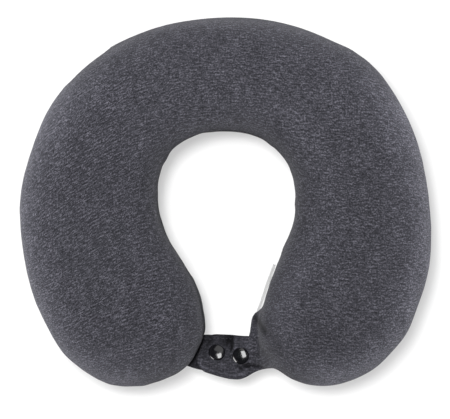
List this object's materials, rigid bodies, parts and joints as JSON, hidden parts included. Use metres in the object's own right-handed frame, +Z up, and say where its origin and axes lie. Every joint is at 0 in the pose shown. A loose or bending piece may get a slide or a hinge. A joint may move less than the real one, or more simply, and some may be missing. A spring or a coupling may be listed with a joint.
{
  "type": "u shaped neck pillow",
  "caption": "U shaped memory-foam neck pillow in a zipped charcoal knit cover, its two arms joined in front by short straps with press snaps.",
  "frame": {"origin": "centre of the footprint, on the surface the pillow lies on", "axes": "+X from arm to arm, +Y towards the back of the neck (the mouth is at -Y), +Z up"},
  "size_m": [0.3024, 0.2733, 0.104],
  "materials": {
    "charcoal_knit": "matte",
    "strap_knit": "matte",
    "liner_knit": "matte",
    "memory_foam": "matte",
    "interfacing": "matte",
    "label_satin": "satin",
    "zip_tape": "matte",
    "zip_coil": "satin",
    "zip_metal": "satin",
    "snap_black": "gloss"
  },
  "bodies": {
    "pillow": {"foam_core": "memory_foam", "inner_liner": "liner_knit", "cover_top_panel": "charcoal_knit", "cover_bottom_panel": "charcoal_knit", "care_label": "label_satin", "zip_tape_upper": "zip_tape", "zip_tape_lower": "zip_tape", "zip_coil_upper": "zip_coil", "zip_coil_lower": "zip_coil", "zip_top_stops": "zip_metal", "zip_bottom_stop": "zip_metal"},
    "slider": {"zip_slider": "zip_metal"},
    "pull": {"zip_pull": "zip_metal"},
    "upper_strap": {"upper_strap_back": "strap_knit", "upper_strap_interfacing": "interfacing", "upper_strap_face": "strap_knit", "snap_caps": "snap_black", "snap_sockets": "snap_black"},
    "lower_strap": {"lower_strap_back": "strap_knit", "lower_strap_interfacing": "interfacing", "lower_strap_face": "strap_knit", "snap_studs": "snap_black", "snap_post_caps": "snap_black"}
  },
  "joints": [
    {"name": "zip_travel", "type": "hinge", "parent": "pillow", "child": "slider", "pos_m": [0, -0.03132, 0.052], "axis": [0, 0, 1], "range_deg": [0, 48.2]},
    {"name": "pull_flip", "type": "hinge", "parent": "slider", "child": "pull", "pos_m": [0.07203, 0.11835, 0.052], "axis": [0, 0, -1], "range_deg": [0, 160]},
    {"name": "upper_strap_lift", "type": "hinge", "parent": "pillow", "child": "upper_strap", "pos_m": [0.02, -0.111, 0.0536], "axis": [0, 1, 0], "range_deg": [0, 72]},
    {"name": "lower_strap_drop", "type": "hinge", "parent": "pillow", "child": "lower_strap", "pos_m": [-0.021, -0.111, 0.049], "axis": [0, 1, 0], "range_deg": [0, 72]}
  ]
}
